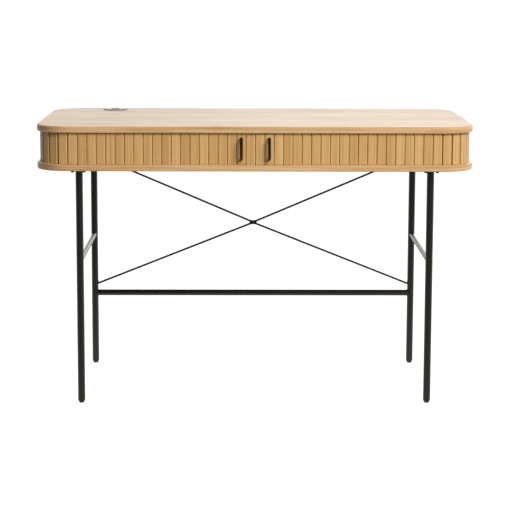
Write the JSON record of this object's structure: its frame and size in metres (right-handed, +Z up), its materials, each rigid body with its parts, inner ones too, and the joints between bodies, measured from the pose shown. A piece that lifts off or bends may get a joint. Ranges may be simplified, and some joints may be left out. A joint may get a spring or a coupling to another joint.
{
  "type": "tambour desk",
  "caption": "Desk with a shallow oak case whose slatted tambour doors slide round its rounded corners, on slim black tube legs with crossed brace rods.",
  "frame": {"origin": "on the floor under the middle of the desk top", "axes": "+X along the front to the right, +Y from the front to the back, +Z up"},
  "size_m": [1.2, 0.614, 0.7836],
  "materials": {
    "oak_panel": "oak veneer, clear matt lacquer",
    "oak_slat": "solid oak, clear matt lacquer",
    "canvas": "woven cotton canvas, glued",
    "black_powder_coat": "fine textured black powder coat on steel",
    "black_handle": "satin black powder coat on steel",
    "black_screw": "black oxide",
    "zinc_screw": "zinc plated",
    "glide_plastic": "moulded",
    "grommet_plastic": "moulded, fine grained"
  },
  "bodies": {
    "case": {"top_panel": "oak_panel", "base_panel": "oak_panel", "left_side_panel": "oak_panel", "right_side_panel": "oak_panel", "left_rear_corner": "oak_panel", "right_rear_corner": "oak_panel", "back_panel": "oak_panel", "left_partition": "oak_panel", "right_partition": "oak_panel", "centre_divider": "oak_panel", "front_left_leg": "black_powder_coat", "front_right_leg": "black_powder_coat", "rear_left_leg": "black_powder_coat", "rear_right_leg": "black_powder_coat", "leg_plates": "black_powder_coat", "leg_plate_screws": "black_screw", "leg_glides": "glide_plastic", "left_side_rail": "black_powder_coat", "right_side_rail": "black_powder_coat", "stretcher_stubs": "black_powder_coat", "back_stretcher": "black_powder_coat", "stretcher_screws": "black_screw", "upper_brace_rod": "black_powder_coat", "lower_brace_rod": "black_powder_coat", "grommet_liner": "grommet_plastic"},
    "left_lead": {"left_lead_slats": "oak_slat", "left_canvas": "canvas", "left_handle": "black_handle", "left_handle_screws": "zinc_screw"},
    "left_turning_1": {"left_turning_slat_1": "oak_slat"},
    "left_turning_2": {"left_turning_slat_2": "oak_slat"},
    "left_turning_3": {"left_turning_slat_3": "oak_slat"},
    "left_turning_4": {"left_turning_slat_4": "oak_slat"},
    "left_front": {"left_front_slats": "oak_slat"},
    "left_corner_1": {"left_corner_slat_1": "oak_slat"},
    "left_corner_2": {"left_corner_slat_2": "oak_slat"},
    "left_corner_3": {"left_corner_slat_3": "oak_slat"},
    "left_corner_4": {"left_corner_slat_4": "oak_slat"},
    "left_tail": {"left_tail_slats": "oak_slat"},
    "right_lead": {"right_lead_slats": "oak_slat", "right_canvas": "canvas", "right_handle": "black_handle", "right_handle_screws": "zinc_screw"},
    "right_turning_1": {"right_turning_slat_1": "oak_slat"},
    "right_turning_2": {"right_turning_slat_2": "oak_slat"},
    "right_turning_3": {"right_turning_slat_3": "oak_slat"},
    "right_turning_4": {"right_turning_slat_4": "oak_slat"},
    "right_front": {"right_front_slats": "oak_slat"},
    "right_corner_1": {"right_corner_slat_1": "oak_slat"},
    "right_corner_2": {"right_corner_slat_2": "oak_slat"},
    "right_corner_3": {"right_corner_slat_3": "oak_slat"},
    "right_corner_4": {"right_corner_slat_4": "oak_slat"},
    "right_tail": {"right_tail_slats": "oak_slat"},
    "cap": {"grommet_cap": "grommet_plastic"}
  },
  "joints": [
    {"name": "left_door_slide", "type": "slide", "parent": "case", "child": "left_lead", "axis": [-1, 0, 0], "range_m": [0, 0.3556], "deforming": ["left_canvas", "left_turning_slat_1", "left_turning_slat_2", "left_turning_slat_3", "left_turning_slat_4", "left_front_slats", "left_corner_slat_1", "left_corner_slat_2", "left_corner_slat_3", "left_corner_slat_4", "left_tail_slats"]},
    {"name": "left_turning_1_follow", "type": "hinge", "parent": "case", "child": "left_turning_1", "pos_m": [-0.3302, 1.74741, 0.719], "axis": [0, 0, -1], "range_deg": [0, 10.02]},
    {"name": "left_turning_2_follow", "type": "hinge", "parent": "case", "child": "left_turning_2", "pos_m": [-0.34718, 0.38274, 0.719], "axis": [0, 0, -1], "range_deg": [0, 30.06]},
    {"name": "left_turning_3_follow", "type": "hinge", "parent": "case", "child": "left_turning_3", "pos_m": [-0.36076, 0.10398, 0.719], "axis": [0, 0, -1], "range_deg": [0, 50.09]},
    {"name": "left_turning_4_follow", "type": "hinge", "parent": "case", "child": "left_turning_4", "pos_m": [-0.37386, -0.01858, 0.719], "axis": [0, 0, -1], "range_deg": [0, 70.13]},
    {"name": "left_front_follow", "type": "hinge", "parent": "case", "child": "left_front", "pos_m": [-0.38725, -0.08725, 0.719], "axis": [0, 0, -1], "range_deg": [0, 90]},
    {"name": "left_corner_1_follow", "type": "hinge", "parent": "case", "child": "left_corner_1", "pos_m": [-0.35704, -0.08024, 0.719], "axis": [0, 0, -1], "range_deg": [0, 79.98]},
    {"name": "left_corner_2_follow", "type": "hinge", "parent": "case", "child": "left_corner_2", "pos_m": [-0.26615, -0.06724, 0.719], "axis": [0, 0, -1], "range_deg": [0, 59.94]},
    {"name": "left_corner_3_follow", "type": "hinge", "parent": "case", "child": "left_corner_3", "pos_m": [-0.0885, -0.05397, 0.719], "axis": [0, 0, -1], "range_deg": [0, 39.91]},
    {"name": "left_corner_4_follow", "type": "hinge", "parent": "case", "child": "left_corner_4", "pos_m": [0.43467, -0.03963, 0.719], "axis": [0, 0, -1], "range_deg": [0, 19.87]},
    {"name": "left_tail_follow", "type": "slide", "parent": "case", "child": "left_tail", "axis": [0, 1, 0], "range_m": [0, 0.3556]},
    {"name": "right_door_slide", "type": "slide", "parent": "case", "child": "right_lead", "axis": [1, 0, 0], "range_m": [0, 0.3556], "deforming": ["right_canvas", "right_turning_slat_1", "right_turning_slat_2", "right_turning_slat_3", "right_turning_slat_4", "right_front_slats", "right_corner_slat_1", "right_corner_slat_2", "right_corner_slat_3", "right_corner_slat_4", "right_tail_slats"]},
    {"name": "right_turning_1_follow", "type": "hinge", "parent": "case", "child": "right_turning_1", "pos_m": [0.3302, 1.74741, 0.719], "axis": [0, 0, 1], "range_deg": [0, 10.02]},
    {"name": "right_turning_2_follow", "type": "hinge", "parent": "case", "child": "right_turning_2", "pos_m": [0.34718, 0.38274, 0.719], "axis": [0, 0, 1], "range_deg": [0, 30.06]},
    {"name": "right_turning_3_follow", "type": "hinge", "parent": "case", "child": "right_turning_3", "pos_m": [0.36076, 0.10398, 0.719], "axis": [0, 0, 1], "range_deg": [0, 50.09]},
    {"name": "right_turning_4_follow", "type": "hinge", "parent": "case", "child": "right_turning_4", "pos_m": [0.37386, -0.01858, 0.719], "axis": [0, 0, 1], "range_deg": [0, 70.13]},
    {"name": "right_front_follow", "type": "hinge", "parent": "case", "child": "right_front", "pos_m": [0.38725, -0.08725, 0.719], "axis": [0, 0, 1], "range_deg": [0, 90]},
    {"name": "right_corner_1_follow", "type": "hinge", "parent": "case", "child": "right_corner_1", "pos_m": [0.35704, -0.08024, 0.719], "axis": [0, 0, 1], "range_deg": [0, 79.98]},
    {"name": "right_corner_2_follow", "type": "hinge", "parent": "case", "child": "right_corner_2", "pos_m": [0.26615, -0.06724, 0.719], "axis": [0, 0, 1], "range_deg": [0, 59.94]},
    {"name": "right_corner_3_follow", "type": "hinge", "parent": "case", "child": "right_corner_3", "pos_m": [0.0885, -0.05397, 0.719], "axis": [0, 0, 1], "range_deg": [0, 39.91]},
    {"name": "right_corner_4_follow", "type": "hinge", "parent": "case", "child": "right_corner_4", "pos_m": [-0.43467, -0.03963, 0.719], "axis": [0, 0, 1], "range_deg": [0, 19.87]},
    {"name": "right_tail_follow", "type": "slide", "parent": "case", "child": "right_tail", "axis": [0, 1, 0], "range_m": [0, 0.3556]},
    {"name": "grommet_cap_turn", "type": "hinge", "parent": "case", "child": "cap", "pos_m": [-0.417, 0.248, 0.78], "axis": [0, 0, 1], "continuous": true}
  ],
  "couplings": [
    {"joint": "left_turning_1_follow", "follows": "left_door_slide", "rad_per_m": 0.49174},
    {"joint": "left_turning_2_follow", "follows": "left_door_slide", "rad_per_m": 1.4752},
    {"joint": "left_turning_3_follow", "follows": "left_door_slide", "rad_per_m": 2.4587},
    {"joint": "left_turning_4_follow", "follows": "left_door_slide", "rad_per_m": 3.4422},
    {"joint": "left_front_follow", "follows": "left_door_slide", "rad_per_m": 4.4173},
    {"joint": "left_corner_1_follow", "follows": "left_door_slide", "rad_per_m": 3.9256},
    {"joint": "left_corner_2_follow", "follows": "left_door_slide", "rad_per_m": 2.9421},
    {"joint": "left_corner_3_follow", "follows": "left_door_slide", "rad_per_m": 1.9586},
    {"joint": "left_corner_4_follow", "follows": "left_door_slide", "rad_per_m": 0.97514},
    {"joint": "left_tail_follow", "follows": "left_door_slide", "ratio": 1},
    {"joint": "right_turning_1_follow", "follows": "right_door_slide", "rad_per_m": 0.49174},
    {"joint": "right_turning_2_follow", "follows": "right_door_slide", "rad_per_m": 1.4752},
    {"joint": "right_turning_3_follow", "follows": "right_door_slide", "rad_per_m": 2.4587},
    {"joint": "right_turning_4_follow", "follows": "right_door_slide", "rad_per_m": 3.4422},
    {"joint": "right_front_follow", "follows": "right_door_slide", "rad_per_m": 4.4173},
    {"joint": "right_corner_1_follow", "follows": "right_door_slide", "rad_per_m": 3.9256},
    {"joint": "right_corner_2_follow", "follows": "right_door_slide", "rad_per_m": 2.9421},
    {"joint": "right_corner_3_follow", "follows": "right_door_slide", "rad_per_m": 1.9586},
    {"joint": "right_corner_4_follow", "follows": "right_door_slide", "rad_per_m": 0.97514},
    {"joint": "right_tail_follow", "follows": "right_door_slide", "ratio": 1}
  ]
}
